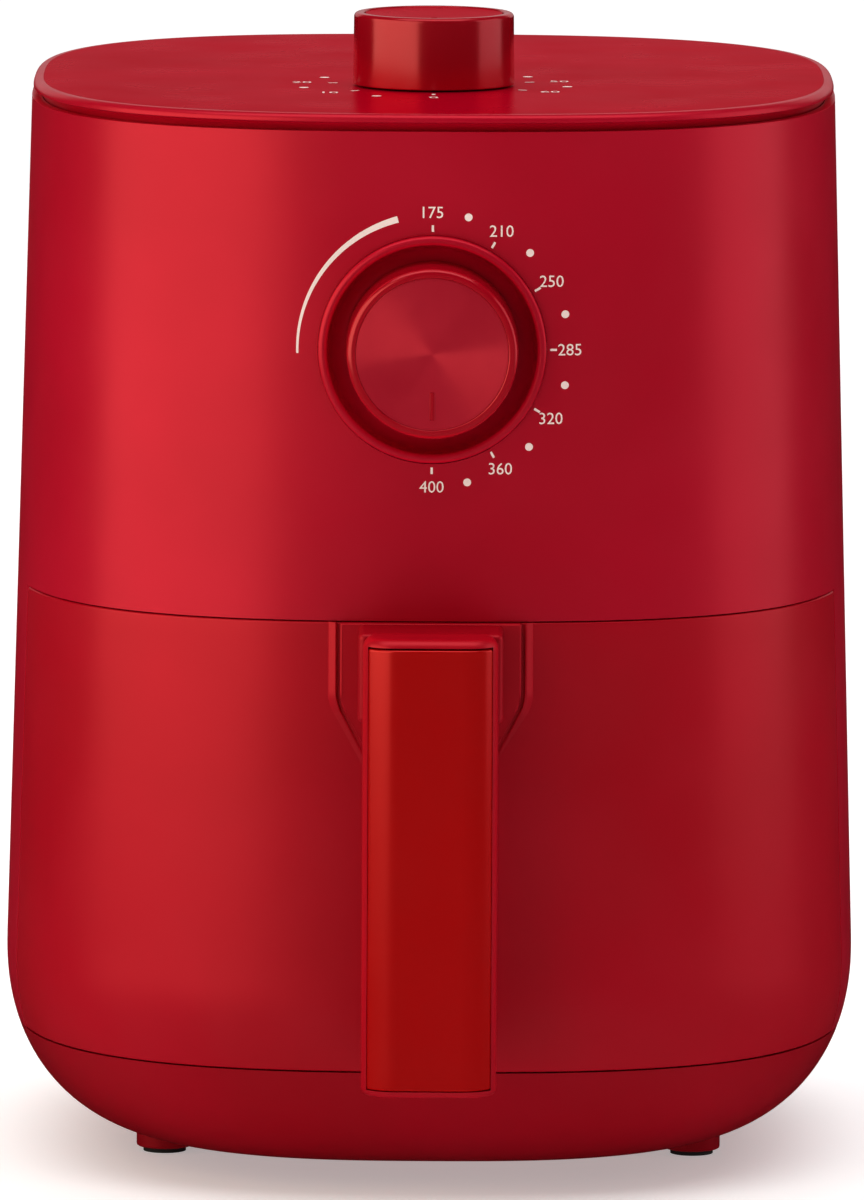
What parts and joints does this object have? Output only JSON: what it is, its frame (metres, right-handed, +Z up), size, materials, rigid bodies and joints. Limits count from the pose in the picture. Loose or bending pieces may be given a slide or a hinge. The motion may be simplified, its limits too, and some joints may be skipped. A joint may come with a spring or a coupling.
{
  "type": "drawer air fryer",
  "caption": "Compact hot-air fryer with a pull-out drawer, upright handle, timer knob on top and thermostat dial in front.",
  "frame": {"origin": "on the table under the middle of the whole object", "axes": "+Z up, the front with the handle faces -Y, +X to the viewer's right"},
  "size_m": [0.211, 0.268, 0.2841],
  "materials": {
    "red_shell": "satin moulded red",
    "red_drawer": "satin moulded red",
    "red_handle": "smooth deep red",
    "red_knob": "satin red",
    "red_spun": "spun and lacquered red",
    "black_rubber": "matt",
    "dark_plastic": "fine grain",
    "white_plastic": "smooth",
    "nonstick": "dark non-stick coating",
    "galvanised": "bright sheet",
    "heater_steel": "heat-darkened",
    "screw_steel": "zinc plated",
    "shaft_steel": "ground",
    "fan_aluminium": "mill finish",
    "motor_steel": "laminations",
    "copper_tube": "copper"
  },
  "bodies": {
    "housing": {"outer_housing": "red_shell", "base_tub": "red_shell", "foot_pads": "black_rubber", "base_deck": "dark_plastic", "base_screws": "screw_steel", "deck_screws": "screw_steel", "front_bulkhead": "dark_plastic", "top_cover": "red_shell", "rear_grille": "dark_plastic", "exhaust_duct": "galvanised", "cord_gland": "black_rubber", "terminal_block": "white_plastic", "heating_chamber": "galvanised", "chamber_wrap": "galvanised", "chamber_floor": "galvanised", "glide_strips": "white_plastic", "element_guard": "galvanised", "heating_element": "heater_steel", "element_brackets": "galvanised", "heat_shield": "galvanised", "thermal_cutout": "dark_plastic", "motor_bracket": "galvanised", "motor_screws": "screw_steel", "motor": "motor_steel", "timer_mechanism": "galvanised", "timer_bell": "galvanised", "dial_bezel": "red_shell", "thermostat": "galvanised", "capillary_tube": "copper_tube", "safety_switch": "dark_plastic"},
    "drawer": {"drawer_front": "red_drawer", "drawer_backing": "dark_plastic", "drawer_pan": "nonstick", "pan_rivets": "shaft_steel", "handle_bracket": "red_drawer", "handle_screws": "screw_steel", "handle_frame": "red_drawer", "handle_cover": "red_handle"},
    "crisper": {"crisper_tray": "nonstick", "tray_bumpers": "black_rubber"},
    "fan_rotor": {"motor_shaft": "shaft_steel", "fan_impeller": "fan_aluminium", "impeller_nut": "screw_steel", "cooling_fan": "dark_plastic"},
    "timer_dial": {"timer_shaft": "shaft_steel", "timer_knob": "red_knob", "timer_knob_cap": "red_knob"},
    "thermostat_dial": {"thermostat_shaft": "shaft_steel", "thermostat_knob": "red_knob", "thermostat_knob_face": "red_spun"},
    "interlock": {"switch_plunger": "white_plastic"}
  },
  "joints": [
    {"name": "drawer_slide", "type": "slide", "parent": "housing", "child": "drawer", "axis": [0, -1, 0], "range_m": [0, 0.19]},
    {"name": "tray_lift", "type": "slide", "parent": "drawer", "child": "crisper", "axis": [0, 0, 1], "range_m": [0, 0.083]},
    {"name": "fan_spin", "type": "hinge", "parent": "housing", "child": "fan_rotor", "pos_m": [0, 0.0045, 0.18], "axis": [0, 0, 1], "continuous": true},
    {"name": "timer_turn", "type": "hinge", "parent": "housing", "child": "timer_dial", "pos_m": [0, -0.0225, 0.27], "axis": [0, 0, -1], "range_deg": [0, 300]},
    {"name": "thermostat_turn", "type": "hinge", "parent": "housing", "child": "thermostat_dial", "pos_m": [0, -0.1, 0.209], "axis": [0, -1, 0], "range_deg": [0, 270]},
    {"name": "plunger_travel", "type": "slide", "parent": "housing", "child": "interlock", "axis": [0, -1, 0], "range_m": [0, 0.002], "stiffness_N_per_m": 100, "springref_m": 0.002}
  ],
  "couplings": [
    {"joint": "plunger_travel", "follows": "drawer_slide", "ratio": 0.0105}
  ]
}
